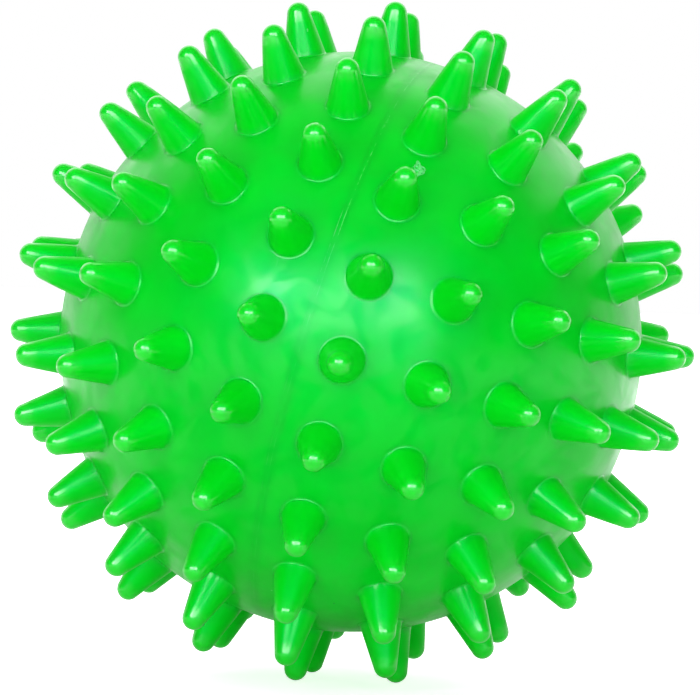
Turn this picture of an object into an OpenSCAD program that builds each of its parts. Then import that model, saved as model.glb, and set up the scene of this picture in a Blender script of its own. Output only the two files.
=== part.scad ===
// Spiky sensory ball: a hollow body of two welded halves, each moulded with its own nubs,
// and a stopper in the filling hole.
// The origin is the centre of the body. +Z points up, and the ball rests on three nubs.

/* [Body] */

// Outside diameter of the body, without its nubs
body_d = 76; // [70:1:100]
// Thickness of the moulded wall
wall = 2.6; // [1.8:0.1:4]
// Width of the weld between the two halves
weld_w = 0.8; // [0.4:0.1:1.6]
// Height of the weld's bead above the body
weld_bead_h = 0.2; // [0.1:0.05:0.4]

/* [Nubs] */

// Height of a nub above the body
nub_h = 7; // [5:0.5:10]
// Radius of a nub's tapered side where it meets the body
nub_base_r = 2.75; // [2.2:0.05:3.2]
// Radius of a nub's round tip
nub_tip_r = 1.5; // [0.8:0.1:2]
// Width and height of the small flare round a nub's foot
nub_foot = 0.3; // [0.1:0.05:0.5]
// Meridian on which each row of the right half starts, in degrees
right_start_angle = 3.7; // [0:0.1:360]
// Meridian on which each row of the left half starts, in degrees
left_start_angle = 65.9; // [0:0.1:360]

/* [Filling hole] */

// Diameter of the stopper's head
plug_head_d = 6; // [4.8:0.1:7]
// Thickness of the stopper's head
plug_head_h = 1.2; // [0.8:0.1:1.8]
// Height of the stopper's head above the body
plug_proud_h = 0.4; // [0.2:0.1:0.7]
// Outside diameter of the ribs on the stopper's stem
plug_stem_d = 3.4; // [2.4:0.1:3.8]
// Length of the stopper's stem below its head
plug_stem_l = 6.4; // [5:0.1:8]
// Depth of the grooves between the ribs
plug_groove = 0.3; // [0.1:0.05:0.5]
// Wall of the collar round the hole, inside the ball
collar_wall = 1.7; // [1:0.1:2.4]
// Length of the collar below the wall
collar_l = 3; // [1.5:0.1:4]
// Gap between the stem's ribs and the hole, on the radius
stem_clear = 0.05; // [0.02:0.01:0.1]
// Gap between the stopper's head and its recess, on the radius
head_clear = 0.25; // [0.15:0.05:0.4]
// Gap under the stopper's head
seat_clear = 0.1; // [0.05:0.05:0.3]

/* [Feed mark] */

// Length of the rough patch where the mould was fed
mark_l = 2.7; // [1.5:0.1:4]
// Width of the patch
mark_w = 2.1; // [1:0.1:3]
// Height of the patch above the body
mark_h = 0.2; // [0.1:0.05:0.4]

/* [Rest] */

// Heading of the right half's pole about the upright axis, in degrees
pole_heading = -9.5; // [-180:0.5:180]

/* [Hidden] */

$fn = 128;

// Every piece is moulded in the same bright green
ball_green = [0, 0.86, 0.2];
plug_green = [0, 0.74, 0.2];

body_r = body_d / 2;
bore_r = body_r - wall;
// Overrun of every cut past the face that it leaves
over = wall / 2;

// Each half carries five rows and a nub at its pole. The rows are one step apart, the first
// lies half a step from the weld, and nubs in a row are as nearly one step apart as fits.
rows = 5;
step = 180 / (2 * rows + 1);
function row_lat(row) = (row - 0.5) * step;
function row_count(row) = round(360 * cos(row_lat(row)) / step);
function nub_lon(row, start, index) = start + index * 360 / row_count(row);
function unit_at(lat, lon) = [cos(lat) * cos(lon), cos(lat) * sin(lon), sin(lat)];

// A nub's outline: its tip is a ball, and its side is the line from the foot that touches the ball
tip_y = body_r + nub_h - nub_tip_r;
side_y = sqrt(body_r * body_r - nub_base_r * nub_base_r);
side_rise = tip_y - side_y;
taper = atan2(nub_base_r, side_rise) - asin(nub_tip_r / norm([nub_base_r, side_rise]));
touch_x = nub_tip_r * cos(taper);
touch_y = tip_y + nub_tip_r * sin(taper);

// The ball lies on two neighbours in the right half's first row and one in its second.
// The rest direction is square to the plane through their tips.
rest_index = 5;
rest_nubs = [
  unit_at(row_lat(1), nub_lon(1, right_start_angle, rest_index)),
  unit_at(row_lat(1), nub_lon(1, right_start_angle, rest_index + 1)),
  unit_at(row_lat(2), nub_lon(2, right_start_angle, rest_index))
];
rest_normal = cross(rest_nubs[1] - rest_nubs[0], rest_nubs[2] - rest_nubs[0]);
rest_down = rest_normal * sign(rest_normal * rest_nubs[0]) / norm(rest_normal);
rest_lon = atan2(rest_down[1], rest_down[0]);
rest_tilt = 180 - acos(rest_down[2]);

// The filling hole is midway between two rows and between two nubs of the left half's second row
valve_lat = -step;
valve_lon = nub_lon(2, left_start_angle, 8.5);
plug_head_r = plug_head_d / 2;
plug_stem_r = plug_stem_d / 2;
plug_ribs = 4;
hole_r = plug_stem_r + stem_clear;
head_y = body_r + plug_proud_h - plug_head_h;
seat_y = head_y - seat_clear;
stem_y = head_y - plug_stem_l;
collar_y = bore_r - collar_l;

// The feed mark lies beside a nub of the right half's first row
mark_lat = 9.3;
mark_lon = right_start_angle - 41.4;
mark_turn = 18;
mark_outline_shares = [
  [0.02, -0.5], [0.14, -0.18], [0.42, 0.02], [0.5, 0.3], [0.2, 0.36],
  [0.04, 0.5], [-0.3, 0.34], [-0.5, 0.2], [-0.34, 0.02], [-0.1, -0.14]
];

// Turns the ball, drawn with the right half's pole upward, to the way it rests
module lay_down() {
  rotate([0, 0, pole_heading])
    rotate([0, rest_tilt, 0])
      rotate([0, 0, -rest_lon])
        children();
}

// Points a child's +Z outward at a latitude and a longitude of the ball
module facing(lat, lon) {
  rotate([0, 0, lon])
    rotate([0, 90 - lat, 0])
      children();
}

// One half of the hollow body, with its pole upward and a flat rim for the weld
module half_body() {
  intersection() {
    difference() {
      sphere(r = body_r);
      sphere(r = bore_r);
    }
    translate([-body_d, -body_d, weld_w / 2])
      cube([2 * body_d, 2 * body_d, body_d]);
  }
}

// Tube inside the wall that grips the stopper's stem
module collar() {
  translate([0, 0, collar_y])
    cylinder(h = bore_r + wall / 2 - collar_y, r = hole_r + collar_wall);
}

// Filling hole, with the recess that the stopper's head sits in
module filling_hole() {
  translate([0, 0, collar_y - over])
    cylinder(h = body_r - collar_y + 2 * over, r = hole_r);
  translate([0, 0, seat_y])
    cylinder(h = body_r + over - seat_y, r = plug_head_r + head_clear);
}

module shell_half_right() {
  color(ball_green)
    lay_down()
      half_body();
}

module shell_half_left() {
  color(ball_green)
    lay_down()
      difference() {
        union() {
          mirror([0, 0, 1])
            half_body();
          facing(valve_lat, valve_lon)
            collar();
        }
        facing(valve_lat, valve_lon)
          filling_hole();
      }
}

// The weld fills the joint through the wall, and its bead stands a little proud
module weld_seam() {
  bead_r = (weld_w * weld_w / 4 + weld_bead_h * weld_bead_h) / (2 * weld_bead_h);
  color(ball_green)
    lay_down()
      rotate_extrude() {
        translate([bore_r, -weld_w / 2])
          square([wall, weld_w]);
        intersection() {
          translate([body_r + weld_bead_h - bead_r, 0])
            circle(r = bead_r);
          translate([body_r, -weld_w / 2])
            square([weld_bead_h, weld_w]);
        }
      }
}

// Half outline of a nub, standing on the body along +Y
module nub_outline() {
  foot_x = nub_base_r + nub_foot;
  difference() {
    union() {
      polygon([
        [0, side_y - over],
        [foot_x, side_y - over],
        [foot_x, sqrt(body_r * body_r - foot_x * foot_x)],
        [nub_base_r - nub_foot * tan(taper), side_y + nub_foot],
        [touch_x, touch_y],
        [0, touch_y]
      ]);
      intersection() {
        translate([0, tip_y])
          circle(r = nub_tip_r);
        translate([0, touch_y])
          square([nub_tip_r, nub_tip_r]);
      }
    }
    circle(r = body_r);
  }
}

module nub() {
  rotate_extrude()
    nub_outline();
}

// One ring of nubs on the half that side names: 1 is the right half and -1 the left
module nub_row(row, side, start) {
  color(ball_green)
    lay_down()
      for (index = [0 : row_count(row) - 1])
        facing(side * row_lat(row), nub_lon(row, start, index))
          nub();
}

module pole_nub(side) {
  color(ball_green)
    lay_down()
      facing(side * 90, 0)
        nub();
}

// Low rough patch left where the mould was fed, trimmed close to the body
module feed_mark() {
  color(ball_green)
    lay_down()
      difference() {
        intersection() {
          facing(mark_lat, mark_lon)
            rotate([0, 0, mark_turn])
              linear_extrude(height = body_r + mark_h + over)
                polygon([for (p = mark_outline_shares) [p[0] * mark_w, p[1] * mark_l]]);
          sphere(r = body_r + mark_h);
        }
        sphere(r = body_r);
      }
}

// Half outline of the stopper: a ribbed stem, and a crowned head that a nail can lift by its
// bevelled edge
module stopper_outline() {
  core_r = plug_stem_r - plug_groove;
  rib_l = plug_stem_l / plug_ribs;
  top_y = body_r + plug_proud_h;
  intersection() {
    polygon(concat(
      [[0, stem_y]],
      [for (rib = [0 : plug_ribs - 1], end = [0, 1])
        [core_r + end * plug_groove, stem_y + (rib + end) * rib_l]],
      [
        [plug_head_r - plug_groove, head_y],
        [plug_head_r, top_y - plug_head_h / 2],
        [plug_head_r, top_y],
        [0, top_y]
      ]
    ));
    circle(r = top_y);
  }
}

module valve_plug() {
  color(plug_green)
    lay_down()
      facing(valve_lat, valve_lon)
        rotate_extrude()
          stopper_outline();
}

shell_half_right();
shell_half_left();
weld_seam();
nub_row(1, 1, right_start_angle);  // nub_row_right_1
nub_row(2, 1, right_start_angle);  // nub_row_right_2
nub_row(3, 1, right_start_angle);  // nub_row_right_3
nub_row(4, 1, right_start_angle);  // nub_row_right_4
nub_row(5, 1, right_start_angle);  // nub_row_right_5
pole_nub(1);  // pole_nub_right
nub_row(1, -1, left_start_angle);  // nub_row_left_1
nub_row(2, -1, left_start_angle);  // nub_row_left_2
nub_row(3, -1, left_start_angle);  // nub_row_left_3
nub_row(4, -1, left_start_angle);  // nub_row_left_4
nub_row(5, -1, left_start_angle);  // nub_row_left_5
pole_nub(-1);  // pole_nub_left
feed_mark();
valve_plug();
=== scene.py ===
import math
import bmesh
import bpy
import numpy as np
from mathutils import Matrix, Vector


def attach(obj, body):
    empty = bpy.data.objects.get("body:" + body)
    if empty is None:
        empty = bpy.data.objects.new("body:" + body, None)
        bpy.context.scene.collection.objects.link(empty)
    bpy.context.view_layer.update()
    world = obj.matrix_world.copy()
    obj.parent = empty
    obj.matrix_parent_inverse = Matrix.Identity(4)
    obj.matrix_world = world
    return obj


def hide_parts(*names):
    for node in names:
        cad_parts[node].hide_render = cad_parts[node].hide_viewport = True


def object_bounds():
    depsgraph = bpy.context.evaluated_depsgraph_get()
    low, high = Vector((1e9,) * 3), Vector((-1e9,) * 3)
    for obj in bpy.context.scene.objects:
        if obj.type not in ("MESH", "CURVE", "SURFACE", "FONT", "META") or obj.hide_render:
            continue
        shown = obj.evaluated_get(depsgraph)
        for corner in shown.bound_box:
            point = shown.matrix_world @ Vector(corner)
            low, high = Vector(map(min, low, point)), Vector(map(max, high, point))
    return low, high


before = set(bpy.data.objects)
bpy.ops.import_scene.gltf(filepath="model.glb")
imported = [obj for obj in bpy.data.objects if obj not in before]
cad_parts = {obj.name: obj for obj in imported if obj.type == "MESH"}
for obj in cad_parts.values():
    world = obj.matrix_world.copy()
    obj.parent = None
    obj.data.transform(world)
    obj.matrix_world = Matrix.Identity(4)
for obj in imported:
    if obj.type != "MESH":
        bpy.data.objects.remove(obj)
cad_low, cad_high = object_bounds()


# Right half of the body: a thin hollow bowl of soft green vinyl, moulded in one piece with its
# nubs. Its outer skin swells and sinks a little, as soft mouldings do once they leave the mould,
# and keeps the mould's orange peel, a satin finish with a thin uneven shine, and marks of use.
body_r = 0.038
wall = 0.0026
bore_r = body_r - wall
weld_w = 0.0008
rows = 5
row_step = math.radians(180 / (2 * rows + 1))
right_start = math.radians(3.7)
rest_nub = 5
pole_heading = math.radians(-9.5)
swell_seed = 11
swell_waves = ((0.046, 0.00008, 8), (0.016, 0.00005, 14), (0.0075, 0.000014, 24))
swell_spread = (0.75, 1.35)
vinyl_green = (0.0, 0.58, 0.014, 1)
vinyl_deep_green = (0.0, 0.53, 0.009, 1)
dirt_green = (0.0, 0.16, 0.01, 1)
lint_green = (0.45, 0.85, 0.55, 1)
scratched_green = (0.4, 0.85, 0.5, 1)
satin_tint = (0.02, 0.43, 0.57, 1)
lint_share = 0.25
scratch_share = 0.03
shine_folds = (0.35, 1.65)


def direction(lat, lon):
    """Unit vectors at latitudes and longitudes of the ball, with the right half's pole upward."""
    lat, lon = np.broadcast_arrays(lat, lon)
    return np.stack([np.cos(lat) * np.cos(lon), np.cos(lat) * np.sin(lon), np.sin(lat)], -1)


def row_latitude(row):
    """Latitude of a ring of nubs, counted from the weld."""
    return (row - 0.5) * row_step


def row_longitudes(row, start):
    """Longitudes of a ring's nubs: as many as fit, as far apart as the rings are."""
    count = round(2 * math.pi * math.cos(row_latitude(row)) / row_step)
    return start + np.arange(count) * 2 * math.pi / count


def resting_turn():
    """Turns the ball from its moulding frame to the way it lies on three of its nubs: two that
    are neighbours in the first ring, and the nearest one of the second."""
    first, second = (row_longitudes(row, right_start) for row in (1, 2))
    tips = direction([row_latitude(1), row_latitude(1), row_latitude(2)],
                     [first[rest_nub], first[rest_nub + 1], second[rest_nub]])
    down = np.cross(tips[1] - tips[0], tips[2] - tips[0])
    down *= np.sign(down @ tips[0]) / np.linalg.norm(down)
    return (
        Matrix.Rotation(pole_heading, 3, "Z")
        @ Matrix.Rotation(math.pi - math.acos(down[2]), 3, "Y")
        @ Matrix.Rotation(-math.atan2(down[1], down[0]), 3, "Z")
    )


lay_down = np.array(resting_turn())


def swelling(unit):
    """How far the moulded skin stands out or in, in metres, at unit vectors of the ball: waves of
    three lengths and depths, so many of each, that cross the ball in chance directions."""
    chance = np.random.RandomState(swell_seed)
    height = np.zeros(unit.shape[:-1])
    for length, depth, count in swell_waves:
        for _ in range(count):
            heading = chance.normal(size=3)
            heading /= np.linalg.norm(heading)
            turns = 2 * math.pi * body_r / (length * chance.uniform(*swell_spread))
            phase = chance.uniform(0, 2 * math.pi)
            height += depth * math.sqrt(2 / count) * np.cos(turns * (unit @ heading) + phase)
    return height


def ring_faces(rings, around, first=0):
    """Quads between neighbouring rings of points that each go once round."""
    ring, spoke = np.meshgrid(np.arange(rings - 1), np.arange(around), indexing="ij")
    here, beside = ring * around + spoke, ring * around + (spoke + 1) % around
    quads = np.stack([here, beside, beside + around, here + around], -1)
    return (quads.reshape(-1, 4) + first).tolist()


def fan_faces(centre, start, around, upward=True):
    """Triangles from a middle point to a ring."""
    spokes = [(start + i, start + (i + 1) % around) for i in range(around)]
    return [(centre, a, b) if upward else (centre, b, a) for a, b in spokes]


def moulding(name, points, faces, material):
    """A smooth closed mesh, given in the moulding frame and laid down as the ball rests."""
    mesh = bpy.data.meshes.new(name)
    mesh.from_pydata((np.asarray(points) @ lay_down.T).tolist(), [], faces)
    mesh.validate()
    mesh.shade_smooth()
    mesh.materials.append(material)
    piece = bpy.data.objects.new(name, mesh)
    bpy.context.scene.collection.objects.link(piece)
    shape = bmesh.new()
    shape.from_mesh(mesh)
    bmesh.ops.recalc_face_normals(shape, faces=shape.faces)
    shape.to_mesh(mesh)
    shape.free()
    return piece


def node_group(name, takes, gives):
    """An empty shader group with its sockets: {name: (kind, default)} in, {name: kind} out."""
    group = bpy.data.node_groups.new(name, "ShaderNodeTree")
    for socket, (kind, value) in takes.items():
        group.interface.new_socket(socket, in_out="INPUT", socket_type=kind).default_value = value
    for socket, kind in gives.items():
        group.interface.new_socket(socket, in_out="OUTPUT", socket_type=kind)
    return group, group.nodes.new("NodeGroupInput"), group.nodes.new("NodeGroupOutput")


def add(tree, kind, settings=None, **sockets):
    """A shader node with its settings and inputs. An input goes by its name, with _ for a space, or
    by its number after a _, and takes a value or another node's output."""
    node = tree.nodes.new("ShaderNode" + kind)
    for key, value in (settings or {}).items():
        setattr(node, key, value)
    for key, value in sockets.items():
        socket = node.inputs[int(key[1:])] if key[0] == "_" else node.inputs[key.replace("_", " ")]
        if isinstance(value, bpy.types.NodeSocket):
            tree.links.new(value, socket)
        else:
            socket.default_value = value
    return node


def make_pigment_group():
    """Cloudy, faintly streaked green where the pigment did not mix evenly."""
    group, taken, given = node_group(
        "vinyl_pigment",
        {"Green": ("NodeSocketColor", vinyl_green),
         "Deep Green": ("NodeSocketColor", vinyl_deep_green),
         "Streaks": ("NodeSocketFloat", 0.3)},
        {"Color": "NodeSocketColor"},
    )
    place = add(group, "TexCoord").outputs["Object"]
    clouds = add(group, "TexNoise", Vector=place, Scale=70.0, Detail=3.0, Roughness=0.55)
    stretched = add(group, "Mapping", Vector=place, Rotation=(0.4, 0.3, 0.9),
                    Scale=(1.0, 5.0, 1.4))
    swirls = add(group, "TexNoise", Vector=stretched.outputs[0], Scale=90.0, Detail=4.0,
                 Distortion=1.2)
    cloudy = add(group, "MapRange", Value=clouds.outputs[0], From_Min=0.35, From_Max=0.7)
    streaky = add(group, "MapRange", Value=swirls.outputs[0], From_Min=0.5, From_Max=0.75)
    share = add(group, "Math", {"operation": "MULTIPLY_ADD"}, _0=streaky.outputs[0],
                _1=taken.outputs["Streaks"], _2=cloudy.outputs[0])
    blend = add(group, "Mix", {"data_type": "RGBA"}, _0=share.outputs[0],
                _6=taken.outputs["Green"], _7=taken.outputs["Deep Green"])
    group.links.new(blend.outputs[2], given.inputs["Color"])
    return group


def make_marks_group():
    """Masks for the marks of use: dark specks of dirt, pale lint, and hairline scratches."""
    group, taken, given = node_group(
        "vinyl_marks",
        {"Speck Size": ("NodeSocketFloat", 0.014),
         "Scratch Width": ("NodeSocketFloat", 0.006)},
        {"Specks": "NodeSocketFloat", "Lint": "NodeSocketFloat", "Scratches": "NodeSocketFloat"},
    )
    place = add(group, "TexCoord").outputs["Object"]
    grains = add(group, "TexVoronoi", Vector=place, Scale=150.0)
    speck = add(group, "Math", {"operation": "LESS_THAN"}, _0=grains.outputs["Distance"],
                _1=taken.outputs["Speck Size"])
    group.links.new(speck.outputs[0], given.inputs["Specks"])
    fibres = add(group, "Mapping", Vector=place, Rotation=(1.1, 0.5, 0.2),
                 Location=(0.3, 0.1, 0.7), Scale=(1.0, 1.0, 0.35))
    lint_cells = add(group, "TexVoronoi", Vector=fibres.outputs[0], Scale=110.0)
    lint = add(group, "Math", {"operation": "LESS_THAN"}, _0=lint_cells.outputs["Distance"],
               _1=taken.outputs["Speck Size"])
    group.links.new(lint.outputs[0], given.inputs["Lint"])
    lines = add(group, "TexNoise", Vector=place, Scale=120.0, Detail=1.0)
    off_line = add(group, "Math", {"operation": "SUBTRACT"}, _0=lines.outputs[0], _1=0.5)
    near_line = add(group, "Math", {"operation": "ABSOLUTE"}, _0=off_line.outputs[0])
    line = add(group, "MapRange", Value=near_line.outputs[0], From_Min=0.0,
               From_Max=taken.outputs["Scratch Width"], To_Min=1.0, To_Max=0.0)
    patches = add(group, "TexNoise", Vector=fibres.outputs[0], Scale=420.0, Detail=2.0)
    patchy = add(group, "MapRange", Value=patches.outputs[0], From_Min=0.7, From_Max=0.74)
    scratch = add(group, "Math", {"operation": "MULTIPLY"}, _0=line.outputs[0],
                  _1=patchy.outputs[0])
    group.links.new(scratch.outputs[0], given.inputs["Scratches"])
    return group


def make_skin_group():
    """The moulded skin: the height of its orange peel and finer satin grain, how dull handling has
    left it, and the folds in which the hot vinyl flowed against the mould."""
    group, taken, given = node_group(
        "moulded_skin",
        {"Grain": ("NodeSocketFloat", 0.2)},
        {"Height": "NodeSocketFloat", "Dullness": "NodeSocketFloat", "Flow": "NodeSocketFloat"},
    )
    place = add(group, "TexCoord").outputs["Object"]
    peel = add(group, "TexNoise", Vector=place, Scale=420.0, Detail=1.0)
    grain = add(group, "TexNoise", Vector=place, Scale=2600.0, Detail=1.0)
    with_grain = add(group, "Math", {"operation": "MULTIPLY_ADD"}, _0=grain.outputs[0],
                     _1=taken.outputs["Grain"], _2=peel.outputs[0])
    group.links.new(with_grain.outputs[0], given.inputs["Height"])
    handled = add(group, "TexNoise", Vector=place, Scale=160.0, Detail=3.0)
    dull = add(group, "MapRange", Value=handled.outputs[0], From_Min=0.4, From_Max=0.7)
    group.links.new(dull.outputs[0], given.inputs["Dullness"])
    folds = add(group, "TexNoise", Vector=place, Scale=190.0, Detail=3.0, Roughness=0.45,
                Distortion=1.4)
    flow = add(group, "MapRange", Value=folds.outputs[0], From_Min=0.4, From_Max=0.6)
    group.links.new(flow.outputs[0], given.inputs["Flow"])
    return group


pigment_group = make_pigment_group()
marks_group = make_marks_group()
skin_group = make_skin_group()


def vinyl(name, greens, satin, peel_depth, grain=0.2, shine=0.17, shine_blur=0.22):
    """Soft vinyl of two greens and a satin between two roughnesses, under the thin folded shine
    that the mould's wall leaves on its skin."""
    material = bpy.data.materials.new(name)
    material.use_nodes = True
    tree = material.node_tree
    shader = tree.nodes["Principled BSDF"]
    pigment = add(tree, "Group", {"node_tree": pigment_group}, Green=greens[0],
                  Deep_Green=greens[1], Streaks=0.3)
    marks = add(tree, "Group", {"node_tree": marks_group}, Speck_Size=0.014, Scratch_Width=0.006)
    skin = add(tree, "Group", {"node_tree": skin_group}, Grain=grain)
    dirty = add(tree, "Mix", {"data_type": "RGBA"}, _0=marks.outputs["Specks"],
                _6=pigment.outputs[0], _7=dirt_green)
    dusty_share = add(tree, "Math", {"operation": "MULTIPLY"}, _0=marks.outputs["Lint"],
                      _1=lint_share)
    dusty = add(tree, "Mix", {"data_type": "RGBA"}, _0=dusty_share.outputs[0],
                _6=dirty.outputs[2], _7=lint_green)
    scratch = add(tree, "Math", {"operation": "MULTIPLY"}, _0=marks.outputs["Scratches"],
                  _1=scratch_share)
    scratched = add(tree, "Mix", {"data_type": "RGBA"}, _0=scratch.outputs[0],
                    _6=dusty.outputs[2], _7=scratched_green)
    rough = add(tree, "MapRange", Value=skin.outputs["Dullness"], To_Min=satin[0],
                To_Max=satin[1])
    bump = add(tree, "Bump", Height=skin.outputs["Height"], Distance=peel_depth)
    tree.links.new(scratched.outputs[2], shader.inputs["Base Color"])
    tree.links.new(rough.outputs[0], shader.inputs["Roughness"])
    tree.links.new(bump.outputs[0], shader.inputs["Normal"])
    shader.inputs["IOR"].default_value = 1.5
    shader.inputs["Specular IOR Level"].default_value = 0.3
    shader.inputs["Specular Tint"].default_value = satin_tint
    folded = add(tree, "MapRange", Value=skin.outputs["Flow"], To_Min=shine_folds[0] * shine,
                 To_Max=shine_folds[1] * shine)
    tree.links.new(folded.outputs[0], shader.inputs["Coat Weight"])
    shader.inputs["Coat Roughness"].default_value = shine_blur
    shader.inputs["Subsurface Weight"].default_value = 0.45
    shader.inputs["Subsurface Radius"].default_value = (0.1, 1.0, 0.3)
    shader.inputs["Subsurface Scale"].default_value = 0.002
    return material


body_vinyl = vinyl("body_vinyl", (vinyl_green, vinyl_deep_green), satin=(0.3, 0.42),
                   peel_depth=0.00001)


def bowl(name, material, around=576, levels=150, inner_levels=20, rim_support=0.0003):
    """Half of the hollow body, on the upper side, with its rim level for the weld. A ring close
    above the rim keeps the smooth shading from rolling over its edge."""
    rim = math.asin(weld_w / 2 / body_r)
    steps = np.r_[0, rim_support, np.arange(1, levels - 1)] / (levels - 1)
    lat = rim + (math.pi / 2 - rim) * steps
    lon = np.arange(around) * 2 * math.pi / around
    unit = direction(lat[:, None], lon[None, :]).reshape(-1, 3)
    outer = unit * (body_r + swelling(unit))[:, None]
    inner_rim = math.asin(weld_w / 2 / bore_r)
    inner_lat = inner_rim + (math.pi / 2 - inner_rim) * np.arange(inner_levels) / inner_levels
    inner = direction(inner_lat[:, None], lon[None, :]).reshape(-1, 3) * bore_r
    top = np.array([[0, 0, body_r + swelling(np.array([[0.0, 0, 1]]))[0]], [0, 0, bore_r]])
    points = np.concatenate([outer, inner, top])
    faces = ring_faces(levels, around) + ring_faces(inner_levels, around, len(outer))
    faces += [(i, (i + 1) % around, len(outer) + (i + 1) % around, len(outer) + i)
              for i in range(around)]
    faces += fan_faces(len(points) - 2, (levels - 1) * around, around)
    faces += fan_faces(len(points) - 1, len(outer) + (inner_levels - 1) * around, around)
    return moulding(name, points, faces, material)


right_half = bowl("body_right_half", body_vinyl)
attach(right_half, "ball")
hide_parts("shell_half_right")


# Left half of the body: the same vinyl bowl, with the hole that the ball is filled through. The
# hole has a shallow recess for the stopper's head, and a collar inside that grips its stem.
left_start = math.radians(65.9)
valve_gap = 8  # the hole lies between this nub of the second ring and the next
valve_lat = -row_step
beside_valve = row_longitudes(2, left_start)
valve_lon = beside_valve[valve_gap] + math.pi / len(beside_valve)
hole_r = 0.00175
hole_edge = 0.0002
recess_r = 0.00325
recess_h = 0.0009
recess_lip = 0.00025
recess_corner = 0.0001
seat_y = body_r - recess_h
collar_r = 0.00345
collar_l = 0.003
collar_y = bore_r - collar_l
collar_root = 0.0005


def facing(points, lat, lon):
    """Turns points drawn about +Z to stand at a latitude and longitude of the ball."""
    outward = Matrix.Rotation(lon, 3, "Z") @ Matrix.Rotation(math.pi / 2 - lat, 3, "Y")
    return np.asarray(points) @ np.array(outward).T


def lathed(outline, around):
    """Points of rings about +Z, one ring for each radius and height of the outline."""
    turn = np.arange(around) * 2 * math.pi / around
    outline = np.asarray(outline)
    x, y = (outline[:, :1] * f(turn)[None, :] for f in (np.cos, np.sin))
    return np.stack([x, y, np.broadcast_to(outline[:, 1:], x.shape)], -1).reshape(-1, 3)


def arc(cx, cy, r, start, end, count):
    """Outline points on an arc, from one angle to another in degrees."""
    return [(cx + r * math.cos(a), cy + r * math.sin(a))
            for a in np.radians(np.linspace(start, end, count))]


def bowl_with_hole(name, material, around=480, skin_rings=300, lining_rings=50, support=0.00001):
    """The whole hollow ball lathed about the filling hole, then cut level at the weld, with a cut
    just inside it as a support for the smooth shading."""
    edge = recess_r + recess_lip
    outer_from, inner_from = math.asin(edge / body_r), math.asin((collar_r + collar_root) / bore_r)
    far_end = math.radians(179.4)
    hole = [(hole_r, collar_y + hole_edge)]
    hole += arc(hole_r + hole_edge, seat_y - hole_edge, hole_edge, 180, 90, 4)
    hole += [(recess_r - 3 * recess_corner, seat_y),
             (recess_r - recess_corner, seat_y + recess_corner),
             (recess_r, seat_y + 3 * recess_corner)]
    hole += arc(edge, body_r * math.cos(outer_from) - recess_lip, recess_lip, 180, 95, 6)
    skin = [(body_r * math.sin(a), body_r * math.cos(a))
            for a in np.linspace(outer_from, far_end, skin_rings)]
    lining = [(bore_r * math.sin(a), bore_r * math.cos(a))
              for a in np.linspace(far_end, inner_from, lining_rings)]
    collar = [(collar_r + 0.0001, bore_r * math.cos(inner_from) - 0.0003),
              (collar_r, collar_y + 0.0003), (collar_r - hole_edge, collar_y),
              (hole_r + hole_edge, collar_y)]
    outer = facing(lathed(hole + skin, around), valve_lat, valve_lon)
    reach = np.linalg.norm(outer, axis=1)
    unit = outer / reach[:, None]
    near_skin = np.clip((reach - seat_y) / (body_r - seat_y), 0, 1)
    outer += unit * (swelling(unit) * near_skin)[:, None]
    inner = facing(lathed(lining + collar, around), valve_lat, valve_lon)
    points = np.concatenate([outer, inner])
    rings = len(hole + skin + lining + collar)
    faces = ring_faces(rings, around)
    last = (rings - 1) * around
    faces += [(last + i, last + (i + 1) % around, (i + 1) % around, i) for i in range(around)]
    shape = bmesh.new()
    vertices = [shape.verts.new(p) for p in points]
    for face in faces:
        shape.faces.new([vertices[i] for i in face])
    for inset in (support, 0):
        geometry = shape.verts[:] + shape.edges[:] + shape.faces[:]
        bmesh.ops.bisect_plane(shape, geom=geometry, dist=1e-7, plane_no=(0, 0, 1),
                               plane_co=(0, 0, -weld_w / 2 - inset), clear_outer=inset == 0)
    rim = [e for e in shape.edges if e.is_boundary]
    bmesh.ops.bridge_loops(shape, edges=rim)
    shape.verts.ensure_lookup_table()
    shape.verts.index_update()
    points = np.array([v.co for v in shape.verts])
    faces = [[v.index for v in f.verts] for f in shape.faces]
    shape.free()
    return moulding(name, points, faces, material)


left_half = bowl_with_hole("body_left_half", body_vinyl)
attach(left_half, "ball")
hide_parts("shell_half_left")


# Weld between the halves: vinyl melted together right through the wall. Its squeezed-out bead was
# scraped off by hand, which leaves two faint ridges, and ragged flakes where the knife skipped.
weld_sway = 0.00003
ridge_h = 0.0000012
# The rings of points across the weld, as shares of its width, and the share of the ridges' height
# that the knife left on some of them
weld_shares = (-0.5, -0.49, -0.4, -0.34, -0.28, -0.22, -0.16,
               0.16, 0.22, 0.28, 0.34, 0.4, 0.49, 0.5)
ridge_shares = {3: 0.6, 4: 1.0, 5: 0.6, 8: 0.6, 9: 1.0, 10: 0.6}
# The pale green of the weld's edges is partly scraped vinyl and partly a painted highlight on its
# ridges.
scrape_and_highlight_green = (0.3, 0.8, 0.4, 1)


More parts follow.
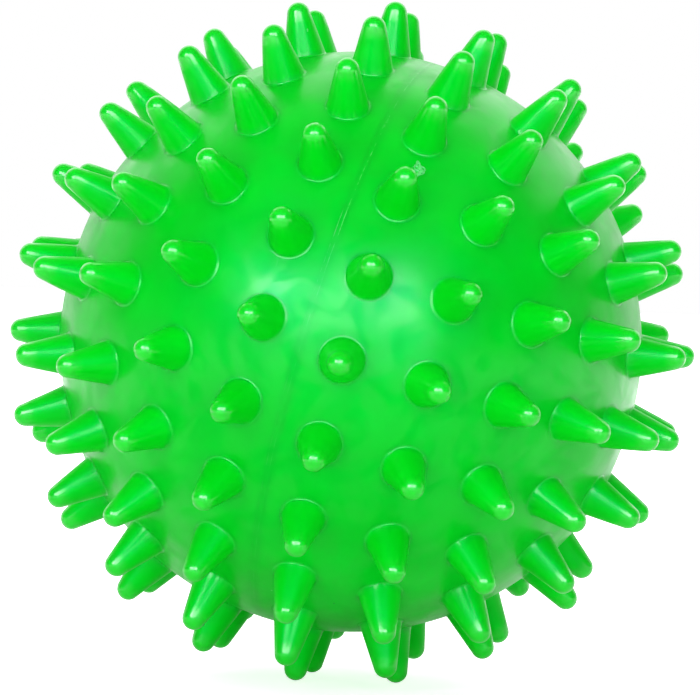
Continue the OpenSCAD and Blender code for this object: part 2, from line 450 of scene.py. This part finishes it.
def make_scrape_and_highlight_group():
    """Where the weld's edges are painted pale, partly as vinyl that the knife left rough and partly
    as a painted highlight that grows towards the top: the right edge in broken lines and flakes
    towards the top, the left edge only in a short stretch below them."""
    group, taken, given = node_group(
        "seam_scrape_and_highlight",
        {"Apart": ("NodeSocketFloat", 0.25), "Wander": ("NodeSocketFloat", 0.3)},
        {"Scrape And Highlight": "NodeSocketFloat"},
    )
    place = add(group, "TexCoord").outputs["Object"]
    height = add(group, "SeparateXYZ", _0=place).outputs["Z"]
    millimetres = tuple(lay_down @ (0.0, 0.0, 1000.0))
    across = add(group, "VectorMath", {"operation": "DOT_PRODUCT"}, _0=place, _1=millimetres)
    sway = add(group, "TexNoise", Vector=place, Scale=160.0, Detail=2.0)
    swayed = add(group, "Math", {"operation": "MULTIPLY_ADD"}, _0=sway.outputs[0],
                 _1=taken.outputs["Wander"], _2=across.outputs["Value"])
    breaks = add(group, "TexNoise", Vector=place, Scale=420.0, Detail=3.0, Roughness=0.7)
    broken = add(group, "MapRange", Value=breaks.outputs[0], From_Min=0.48, From_Max=0.64)
    clots = add(group, "TexNoise", Vector=place, Scale=330.0, Detail=2.0)
    line_w = 0.06
    swollen = add(group, "MapRange", Value=clots.outputs[0], From_Min=0.52, From_Max=0.64,
                  To_Min=line_w, To_Max=0.24)
    # Painted highlight: the pale lines grow stronger towards the top of the ball, where the light
    # falls.
    highlight_toward_top = add(group, "MapRange", Value=height, From_Min=0.0, From_Max=0.016, To_Min=0.15,
                   To_Max=1.0)
    flaked = add(group, "MapRange", Value=height, From_Min=0.018, From_Max=0.022, To_Min=line_w,
                 To_Max=swollen.outputs[0])
    low_left = add(group, "MapRange", Value=height, From_Min=0.016, From_Max=0.018, To_Min=1.0,
                   To_Max=0.0)
    edges = []
    for way, width in (("SUBTRACT", flaked.outputs[0]), ("ADD", line_w)):
        off_edge = add(group, "Math", {"operation": way}, _0=swayed.outputs[0],
                       _1=taken.outputs["Apart"])
        off_line = add(group, "Math", {"operation": "ABSOLUTE"}, _0=off_edge.outputs[0])
        edges.append(add(group, "MapRange", Value=off_line.outputs[0], From_Min=0.02,
                         From_Max=width, To_Min=1.0, To_Max=0.0))
    left = add(group, "Math", {"operation": "MULTIPLY"}, _0=edges[1].outputs[0],
               _1=low_left.outputs[0])
    line = add(group, "Math", {"operation": "MAXIMUM"}, _0=edges[0].outputs[0], _1=left.outputs[0])
    pale = add(group, "Math", {"operation": "MULTIPLY"}, _0=line.outputs[0], _1=broken.outputs[0])
    faded = add(group, "Math", {"operation": "MULTIPLY"}, _0=pale.outputs[0],
                _1=highlight_toward_top.outputs[0])
    group.links.new(faded.outputs[0], given.inputs["Scrape And Highlight"])
    return group


def paint_scrapes_and_highlights(material, share):
    """Lays the pale lines, partly scraped vinyl and partly painted highlight, over a vinyl's own
    colour.
    """
    tree = material.node_tree
    shader = tree.nodes["Principled BSDF"]
    colour = shader.inputs["Base Color"].links[0].from_socket
    seam = add(tree, "Group", {"node_tree": make_scrape_and_highlight_group()}, Apart=0.25, Wander=0.3)
    amount = add(tree, "Math", {"operation": "MULTIPLY"}, _0=seam.outputs["Scrape And Highlight"], _1=share)
    edged = add(tree, "Mix", {"data_type": "RGBA"}, _0=amount.outputs[0], _6=colour,
                _7=scrape_and_highlight_green)
    tree.links.new(edged.outputs[2], shader.inputs["Base Color"])


weld_vinyl = vinyl("weld_vinyl", (vinyl_green, vinyl_deep_green), satin=(0.3, 0.42),
                   peel_depth=0.00001, grain=0.3)
paint_scrapes_and_highlights(weld_vinyl, share=0.35)


def ragged(turn, most_waves, seed, layers=14):
    """A wandering value about zero that closes on itself after one turn."""
    chance = np.random.RandomState(seed)
    total = np.zeros(np.shape(turn))
    for _ in range(layers):
        waves = chance.randint(most_waves // 4, most_waves)
        total += np.cos(waves * turn + chance.uniform(0, 2 * math.pi)) / math.sqrt(layers / 2)
    return total


def weld_ring(name, material, around=2400):
    """The weld all round: rings over its scraped face from edge to edge, and back inside."""
    turn = np.arange(around) * 2 * math.pi / around
    unit = direction(np.zeros(around), turn)
    skin = body_r + swelling(unit)
    points = []
    for k, offset in enumerate(np.array(weld_shares) * weld_w):
        height = np.zeros(around)
        if k in ridge_shares:
            seed = 20 if offset < 0 else 21
            broken = np.clip(1.0 + 0.7 * ragged(turn, 120, seed), 0.1, 2.4)
            height += ridge_shares[k] * ridge_h * broken
        wander = weld_sway * ragged(turn, 60, 7) * (1 - (2 * offset / weld_w) ** 2)
        level = np.full(around, offset) + wander
        points.append(np.column_stack([unit[:, :2] * (skin + height)[:, None], level]))
    for offset in (0.5, -0.5):
        points.append(np.column_stack([unit[:, :2] * bore_r, np.full(around, offset * weld_w)]))
    faces = ring_faces(len(points), around)
    last = (len(points) - 1) * around
    faces += [(last + i, last + (i + 1) % around, (i + 1) % around, i) for i in range(around)]
    return moulding(name, np.concatenate(points), faces, material)


weld = weld_ring("weld_bead", weld_vinyl)
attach(weld, "ball")
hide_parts("weld_seam")


# Nubs: solid cones of the same vinyl with round tips, moulded with each half in rings about its
# pole. Each rises from a shallow skirt and a tight fillet, and handling has rubbed its tip glossy.
nub_h = 0.007
nub_base_r = 0.00275
nub_tip_r = 0.0015
nub_foot = 0.0003
nub_skirt = 0.0009
nub_skirt_lean = math.radians(17)
nub_root = 0.0004
nub_bend = 0.00006
nub_stretch = 0.00005
nub_oval = 0.006
foot_share = 0.25
# From where to where, from the ball's centre, foot turns to shaft and shaft to rubbed tip
foot_reach = (0.03825, 0.0388)
tip_reach = (0.0424, 0.0436)
nub_green = (0.0, 0.63, 0.007, 1)
nub_deep_green = (0.0, 0.58, 0.004, 1)


def make_reach_group():
    """A share that grows from none to all between two distances from the ball's centre."""
    group, taken, given = node_group(
        "reach_from_centre",
        {"Start": ("NodeSocketFloat", 0.038), "Full": ("NodeSocketFloat", 0.039)},
        {"Share": "NodeSocketFloat"},
    )
    place = add(group, "TexCoord").outputs["Object"]
    reach = add(group, "VectorMath", {"operation": "LENGTH"}, _0=place)
    share = add(group, "MapRange", Value=reach.outputs["Value"], From_Min=taken.outputs["Start"],
                From_Max=taken.outputs["Full"])
    group.links.new(share.outputs[0], given.inputs["Share"])
    return group


reach_group = make_reach_group()


def polish_tips(material, skin_colour, foot_shine, shaft_shine, tip_shine):
    """Gives the feet the body's colour, and sets the shine of feet, shafts and rubbed tips."""
    tree = material.node_tree
    shader = tree.nodes["Principled BSDF"]
    colour = shader.inputs["Base Color"].links[0].from_socket
    off_foot = add(tree, "Group", {"node_tree": reach_group}, Start=foot_reach[0],
                   Full=foot_reach[1])
    on_tip = add(tree, "Group", {"node_tree": reach_group}, Start=tip_reach[0], Full=tip_reach[1])
    blend = add(tree, "Mix", {"data_type": "RGBA"}, _0=off_foot.outputs[0], _6=skin_colour,
                _7=colour)
    low = add(tree, "MapRange", Value=off_foot.outputs[0], To_Min=foot_shine,
              To_Max=shaft_shine)
    shine = add(tree, "MapRange", Value=on_tip.outputs[0], To_Min=low.outputs[0],
                To_Max=tip_shine)
    tree.links.new(blend.outputs[2], shader.inputs["Base Color"])
    tree.links.new(shine.outputs[0], shader.inputs["Coat Weight"])


nub_vinyl = vinyl("nub_vinyl", (nub_green, nub_deep_green), satin=(0.42, 0.5),
                  peel_depth=0.000002, grain=0.15, shine_blur=0.16)
polish_tips(nub_vinyl, vinyl_green, foot_shine=0.38, shaft_shine=0.1, tip_shine=1.0)


def nub_outline():
    """Radius and height of a nub's rings, and its top: from under the skin, over the shallow skirt
    and the tight fillet of its foot, and up the shaft to the round tip. Rings stand close together
    where the skirt leaves the skin, so that the smooth shading doesn't draw a line there."""
    tip_y = body_r + nub_h - nub_tip_r
    side_y = math.sqrt(body_r**2 - nub_base_r**2)
    rise = tip_y - side_y
    taper = math.atan2(nub_base_r, rise) - math.asin(nub_tip_r / math.hypot(nub_base_r, rise))
    off_side = np.array([math.cos(taper), math.sin(taper)])
    bend = np.array([math.sin(nub_skirt_lean), math.cos(nub_skirt_lean)])
    reach = nub_foot + np.array([nub_base_r, side_y]) @ off_side
    reach += (nub_skirt - nub_foot) * (bend @ off_side)
    lean = math.asin(reach / (body_r + nub_skirt)) - taper
    skirt = (body_r + nub_skirt) * np.array([math.sin(lean), math.cos(lean)])
    fillet = skirt - (nub_skirt - nub_foot) * bend
    lean, bent, draft = (math.degrees(a) for a in (lean, nub_skirt_lean, taper))
    edge_x, edge_y = (body_r * f(math.radians(lean)) for f in (math.sin, math.cos))
    rings = [(edge_x + 0.00004, edge_y - nub_root), (edge_x + 0.00002, edge_y - 0.00005)]
    rings += arc(*skirt, nub_skirt, 270 - lean, 269.9 - lean, 2)
    rings += arc(*skirt, nub_skirt, 268 - lean, 270 - bent, 6)
    rings += arc(*fillet, nub_foot, 270 - bent, 180 + draft, 7)[1:]
    touch = (nub_tip_r * math.cos(taper), tip_y + nub_tip_r * math.sin(taper))
    start = rings[-1]
    rings += [tuple(np.array(start) + (np.array(touch) - start) * share)
              for share in np.linspace(0, 1, 7)[1:-1]]
    rings += arc(0, tip_y, nub_tip_r, draft, 86, 12)
    return rings, (0, body_r + nub_h)


def nub_points(lat, lon, chance, around):
    """One nub at its place, each a little different, its foot on the uneven skin."""
    rings, top = nub_outline()
    points = np.concatenate([lathed(rings, around), [[0, 0, rings[0][1]], [0, 0, top[1]]]])
    height = (points[:, 2] - body_r) / nub_h
    bend = chance.normal(size=2) * nub_bend
    oval = chance.normal() * nub_oval
    stretch = chance.normal() * nub_stretch
    up = np.clip(height, 0, 1)
    points[:, 0] = points[:, 0] * (1 + oval) + bend[0] * up**2
    points[:, 1] = points[:, 1] * (1 - oval) + bend[1] * up**2
    points[:, 2] += stretch * up
    points = facing(points, lat, lon)
    reach = np.linalg.norm(points, axis=1)
    unit = points / reach[:, None]
    by_foot = np.clip(1 - up / foot_share, 0, 1)[:, None]
    middle = direction(lat, lon)
    with_skin = by_foot * unit * swelling(unit)[:, None]
    above = (1 - by_foot) * middle * swelling(middle[None, :])[0]
    return points + with_skin + above


def nub_ring(name, lat, longitudes, material, seed, around=72):
    """A ring of nubs at one latitude, as one mesh of separate closed nubs."""
    chance = np.random.RandomState(seed)
    rings = len(nub_outline()[0])
    size = rings * around + 2
    points, faces = [], []
    for index, lon in enumerate(longitudes):
        first = index * size
        points.append(nub_points(lat, lon, chance, around))
        faces += ring_faces(rings, around, first)
        faces += fan_faces(first + size - 2, first, around, False)
        faces += fan_faces(first + size - 1, first + (rings - 1) * around, around)
    return moulding(name, np.concatenate(points), faces, material)


for side, hand, start in ((1, "right", right_start), (-1, "left", left_start)):
    for row in range(1, rows + 1):
        ring = nub_ring(f"nubs_{hand}_{row}", side * row_latitude(row), row_longitudes(row, start),
                        nub_vinyl, seed=100 * row + side)
        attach(ring, "ball")
        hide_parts(f"nub_row_{hand}_{row}")
    pole = nub_ring(f"nub_{hand}_pole", side * math.pi / 2, [0.0], nub_vinyl, seed=50 + side)
    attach(pole, "ball")
    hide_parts(f"pole_nub_{hand}")


# Feed mark: the rough stub where the vinyl ran into the mould, trimmed almost flush beside one
# nub. The torn skin is paler, and has a short spire on one side, a crisp crust and small pits.
mark_l = 0.0027
mark_w = 0.0021
mark_lat = math.radians(9.3)
mark_lon = right_start - math.radians(41.4)
mark_turn = math.radians(18)
mark_level = body_r + swelling(direction(mark_lat, mark_lon)[None, :])[0]
mark_root = 0.0003
crust_h = 0.0001
crust_rough = 0.00005
pit_floor = 0.00001
crust_edge = 0.1
crust_waves = (0.00006, 0.00011, 0.00008)
crest_reach = (mark_level + 0.00003, mark_level + 0.00011)
# Corners of its outline, and place and half size of its pits, as shares of its width and length
mark_shares = ((-0.01, -0.5), (0.1, -0.42), (0.12, -0.25), (0.24, -0.12), (0.41, 0.06), (0.5, 0.26),
               (0.36, 0.4), (0.03, 0.5), (-0.2, 0.36), (-0.38, 0.3), (-0.42, 0.15), (-0.5, -0.04),
               (-0.34, -0.15), (-0.18, -0.2), (-0.12, -0.42))
mark_pits = ((-0.33, -0.01, 0.08, 0.09), (0.07, -0.02, 0.1, 0.06), (0.13, 0.2, 0.16, 0.09),
             (0.27, 0.03, 0.06, 0.1), (-0.24, 0.26, 0.05, 0.06), (-0.08, 0.1, 0.05, 0.04),
             (-0.02, -0.2, 0.03, 0.08))
torn_green = (0.12, 0.72, 0.17, 1)
mark_vinyl = vinyl("torn_vinyl", (vinyl_green, vinyl_deep_green), satin=(0.3, 0.45),
                   peel_depth=0.00001, grain=0.6, shine=0.12)


def bleach_crests(material, share):
    """Lays the pale torn vinyl over everything that stands out of the skin."""
    tree = material.node_tree
    shader = tree.nodes["Principled BSDF"]
    colour = shader.inputs["Base Color"].links[0].from_socket
    crest = add(tree, "Group", {"node_tree": reach_group}, Start=crest_reach[0],
                Full=crest_reach[1])
    amount = add(tree, "Math", {"operation": "MULTIPLY"}, _0=crest.outputs[0], _1=share)
    bleached = add(tree, "Mix", {"data_type": "RGBA"}, _0=amount.outputs[0], _6=colour,
                   _7=torn_green)
    tree.links.new(bleached.outputs[2], shader.inputs["Base Color"])


bleach_crests(mark_vinyl, share=0.95)


def torn_stub(name, material, rings=34, around=144):
    """A low crust: rings shrink from the outline to its middle, and its pits sink to the skin."""
    corners = np.array(mark_shares) * (mark_w, mark_l)
    middle = np.array([0.0, 0.06 * mark_l])
    turn = np.arange(around) * 2 * math.pi / around
    angles = np.arctan2(*(corners - middle).T[::-1])
    order = np.argsort(angles)
    angles, lengths = angles[order], np.linalg.norm(corners - middle, axis=1)[order]
    three_turns = np.r_[angles - 2 * math.pi, angles, angles + 2 * math.pi]
    reach = np.interp(turn, three_turns, np.tile(lengths, 3))
    reach *= 1 + 0.03 * ragged(turn, 40, 3)
    wave_x, bend_y, wave_y = crust_waves
    points = []
    for k in range(rings):
        share = 1 - k / rings
        x = middle[0] + reach * share * np.cos(turn)
        y = middle[1] + reach * share * np.sin(turn)
        sunk = np.zeros(around)
        for pit_x, pit_y, wide, long in mark_pits:
            off = ((x / mark_w - pit_x) / wide) ** 2 + ((y / mark_l - pit_y) / long) ** 2
            sunk = np.maximum(sunk, np.exp(-off**2))
        rough = 0.5 + 0.5 * np.sin(x / wave_x + 2 * np.sin(y / bend_y)) * np.cos(y / wave_y)
        edge = np.clip(k / (crust_edge * rings), 0, 1)
        height = edge * ((crust_h + crust_rough * rough) * (1 - sunk) + pit_floor)
        height -= 0.00005 * (k == 0)
        points.append(np.column_stack([x, y, body_r + height]))
    x, y = points[0][:, 0], points[0][:, 1]
    root = np.column_stack([x * 0.98, y * 0.98, np.full(around, body_r - mark_root)])
    ends = [[0, middle[1], body_r - mark_root], [middle[0], middle[1], body_r + crust_h]]
    flat = np.concatenate([root] + points + [ends])
    spin = np.array(Matrix.Rotation(mark_turn, 3, "Z"))
    flat = flat @ spin.T
    level = flat[:, 2].copy()
    flat[:, 2] = body_r
    placed = facing(flat, mark_lat, mark_lon)
    unit = placed / np.linalg.norm(placed, axis=1)[:, None]
    placed = unit * (level + swelling(unit))[:, None]
    faces = ring_faces(rings + 1, around)
    faces += fan_faces(len(flat) - 2, 0, around, False)
    faces += fan_faces(len(flat) - 1, rings * around, around)
    return moulding(name, placed, faces, material)


mark = torn_stub("feed_stub", mark_vinyl)
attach(mark, "ball")
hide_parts("feed_mark")


# Stopper: a small moulded plug of harder, darker vinyl, which pulls out to let the air in or out.
# Its crowned head sits in the recess, and the saw-toothed ribs of its stem bite in the collar.
plug_proud = 0.0004
plug_head_r = 0.003
plug_head_h = 0.0012
plug_stem_r = 0.0017
plug_stem_l = 0.0064
plug_groove = 0.0003
plug_ribs = 4
plug_rim_r = 0.00025
plug_green = (0.0, 0.5, 0.012, 1)
plug_deep_green = (0.0, 0.42, 0.006, 1)
plug_vinyl = vinyl("plug_vinyl", (plug_green, plug_deep_green), satin=(0.16, 0.24),
                   peel_depth=0.000008)


def stopper(name, material, around=96):
    """The plug lathed from its stem's end, up over the ribs and round the head to its crown. Each
    rib slopes out to a small rounded edge and drops straight back to the core."""
    head_y = body_r + plug_proud - plug_head_h
    stem_y = head_y - plug_stem_l
    rib_l = plug_stem_l / plug_ribs
    core_r = plug_stem_r - plug_groove
    outline = [(core_r - 0.0002, stem_y), (core_r - 0.00005, stem_y + 0.00005)]
    for rib in range(plug_ribs):
        low, high = stem_y + rib * rib_l, stem_y + (rib + 1) * rib_l
        outline += [(core_r, low + 0.0002), (plug_stem_r - 0.00003, high - 0.00015),
                    (plug_stem_r, high - 0.00009), (plug_stem_r - 0.00006, high - 0.00002),
                    (core_r + 0.00005, high)]
    under_r, middle_y = plug_head_r - plug_groove, head_y + plug_head_h / 2
    outline += [(under_r - 0.0001, head_y), (under_r, head_y + 0.00005),
                (plug_head_r - 0.00004, middle_y - 0.00008)]
    outline += arc(plug_head_r - plug_rim_r, middle_y + 0.00008, plug_rim_r, 0, 80, 6)
    crown_r = body_r + plug_proud
    crown_from = math.asin((plug_head_r - plug_rim_r) / body_r)
    outline += [(crown_r * math.sin(a), crown_r * math.cos(a))
                for a in np.linspace(crown_from, 0.006, 8)]
    tip = outline[-1][1] + 0.000001
    points = np.concatenate([lathed(outline, around), [[0, 0, stem_y], [0, 0, tip]]])
    faces = ring_faces(len(outline), around)
    faces += fan_faces(len(points) - 2, 0, around, False)
    faces += fan_faces(len(points) - 1, (len(outline) - 1) * around, around)
    return moulding(name, facing(points, valve_lat, valve_lon), faces, material)


plug = stopper("stopper", plug_vinyl)
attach(plug, "plug")
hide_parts("valve_plug")


# Floor: a wide, matt white table top, at the level of the three nubs that the ball rests on. It
# shows white to the camera and in reflections, except close to the ball, where its glow dims in a
# painted shadow round the ball and its real shadow shows.
floor_z = cad_low.z
floor_half = 4.0
paint_tones = (0.89, 0.93)
shadow_reach = (0.12, 0.35)
floor_corners = [(x * floor_half, y * floor_half, floor_z)
                 for x, y in ((-1, -1), (1, -1), (1, 1), (-1, 1))]
floor_mesh = bpy.data.meshes.new("table_top")
floor_mesh.from_pydata(floor_corners, [], [(0, 1, 2, 3)])
table_top = bpy.data.objects.new("table_top", floor_mesh)
bpy.context.scene.collection.objects.link(table_top)
white_top = bpy.data.materials.new("white_table_top")
white_top.use_nodes = True
tree = white_top.node_tree
shader = tree.nodes["Principled BSDF"]
shader.inputs["Roughness"].default_value = 0.85
shader.inputs["Specular IOR Level"].default_value = 0.1
paint_grain = add(tree, "TexNoise", Scale=900.0, Detail=2.0)
paint_tone = add(tree, "MapRange", Value=paint_grain.outputs[0], To_Min=paint_tones[0],
                 To_Max=paint_tones[1])
tone = add(tree, "CombineColor", _0=paint_tone.outputs[0], _1=paint_tone.outputs[0],
           _2=paint_tone.outputs[0])
tree.links.new(tone.outputs[0], shader.inputs["Base Color"])
seen = add(tree, "LightPath")
mirrored = add(tree, "Math", {"operation": "MAXIMUM"}, _0=seen.outputs["Is Glossy Ray"],
               _1=seen.outputs["Is Transmission Ray"])
place = add(tree, "TexCoord").outputs["Object"]
from_ball = add(tree, "VectorMath", {"operation": "LENGTH"}, _0=place)
# Painted shadow: within this reach of the ball the floor's glow is dimmed, in a ring that stands in
# for the ball's shadow.
clear_of_painted_shadow = add(tree, "MapRange", Value=from_ball.outputs["Value"], From_Min=shadow_reach[0],
                 From_Max=shadow_reach[1])
in_mirror = add(tree, "Math", {"operation": "MULTIPLY"}, _0=mirrored.outputs[0],
                _1=clear_of_painted_shadow.outputs[0])
either = add(tree, "Math", {"operation": "MAXIMUM"}, _0=in_mirror.outputs[0],
             _1=seen.outputs["Is Camera Ray"])
strength = add(tree, "MapRange", Value=clear_of_painted_shadow.outputs[0], To_Min=0.7, To_Max=1.0)
glow = add(tree, "Math", {"operation": "MULTIPLY"}, _0=either.outputs[0], _1=strength.outputs[0])
shader.inputs["Emission Color"].default_value = (1, 1, 1, 1)
tree.links.new(glow.outputs[0], shader.inputs["Emission Strength"])
floor_mesh.materials.append(white_top)


# Light: a room that is white behind the ball and dim in front of it, with soft boxes. The sheets
# only light the ball. The glints only show in its shine: the window as the pale patch on the body
# and the streaks along the nubs, and the left and right ones as the two highlights on each tip.
front_wall = 0.14
lit_share = 0.9
world = bpy.data.worlds.new("white_room")
bpy.context.scene.world = world
world.use_nodes = True
tree = world.node_tree
background = tree.nodes["Background"]
seen = add(tree, "LightPath")
direct = add(tree, "Math", {"operation": "MAXIMUM"}, _0=seen.outputs["Is Camera Ray"],
             _1=seen.outputs["Is Glossy Ray"])
either = add(tree, "Math", {"operation": "MAXIMUM"}, _0=direct.outputs[0],
             _1=seen.outputs["Is Transmission Ray"])
level = add(tree, "MapRange", Value=either.outputs[0], To_Min=lit_share, To_Max=1.0)
tree.links.new(level.outputs[0], background.inputs["Strength"])
way = add(tree, "SeparateXYZ", _0=add(tree, "TexCoord").outputs["Generated"])
room = add(tree, "MapRange", Value=way.outputs["Y"], From_Min=0.3, From_Max=0.5,
           To_Min=front_wall, To_Max=1.0)
plain = add(tree, "Math", {"operation": "MAXIMUM"}, _0=room.outputs[0],
            _1=seen.outputs["Is Camera Ray"])
shade = add(tree, "CombineColor", _0=plain.outputs[0], _1=plain.outputs[0], _2=plain.outputs[0])
tree.links.new(shade.outputs[0], background.inputs["Color"])


def soft_box(name, azimuth, elevation, distance, width, height, radiance):
    """An area lamp that faces the ball, at an azimuth to the right of the camera and an elevation
    in degrees, with its distance and size in metres."""
    lamp = bpy.data.lights.new(name, "AREA")
    lamp.shape = "RECTANGLE"
    lamp.size, lamp.size_y = width, height
    lamp.energy = radiance * math.pi * width * height
    holder = bpy.data.objects.new(name, lamp)
    bpy.context.scene.collection.objects.link(holder)
    a, e = math.radians(azimuth), math.radians(elevation)
    towards = Vector((math.sin(a) * math.cos(e), -math.cos(a) * math.cos(e), math.sin(e)))
    holder.location = towards * distance
    holder.rotation_euler = towards.to_track_quat("Z", "Y").to_euler()
    return holder


# Azimuth, elevation, distance, width, height and radiance of each box
sheets = {"left_sheet": (-34, 20, 0.78, 0.28, 0.18, 5.2),
          "right_sheet": (19, 17, 0.78, 0.28, 0.18, 3.7),
          "front_sheet": (-14, 15, 0.82, 1.0, 0.45, 0.2),
          "low_sheet": (-6, -0.3, 0.85, 1.6, 0.07, 10),
          "ceiling_sheet": (-8, 68, 0.9, 1.4, 1.4, 1.35),
          "back_sheet": (168, 26, 0.9, 1.2, 0.5, 2.2)}
glints = {"left_glint": (-34, 20, 0.78, 0.24, 0.17, 16),
          "right_glint": (19, 17, 0.78, 0.24, 0.17, 18),
          "window_glint": (-7, 18, 0.8, 1.1, 0.36, 9.5),
          "back_glint": (180, 43, 0.9, 2.0, 0.8, 0.6)}
for name, box in sheets.items():
    soft_box(name, *box).visible_glossy = False
for name, box in glints.items():
    soft_box(name, *box).visible_diffuse = False


# Camera: almost level with the ball and square to it, rolled by a touch, at the photograph's
# distance, with a long lens that fills the frame with the ball.
camera_side = (0.0001, -0.9997, 0.0234)
camera_distance = 0.4874
camera_roll = math.radians(2.32)
camera_data = bpy.data.cameras.new("camera")
camera_data.lens = 191.0
camera_data.sensor_width = 36.0
camera_data.shift_x = -0.0020
camera_data.shift_y = -0.0070
camera_data.clip_start, camera_data.clip_end = 0.01, 20.0
camera = bpy.data.objects.new("camera", camera_data)
bpy.context.scene.collection.objects.link(camera)
back = Vector(camera_side).normalized()
camera.location = back * camera_distance
level_view = back.to_track_quat("Z", "Y").to_matrix()
camera.rotation_euler = (level_view @ Matrix.Rotation(camera_roll, 3, "Z")).to_euler()
bpy.context.scene.camera = camera
bpy.context.scene.view_settings.view_transform = "Standard"
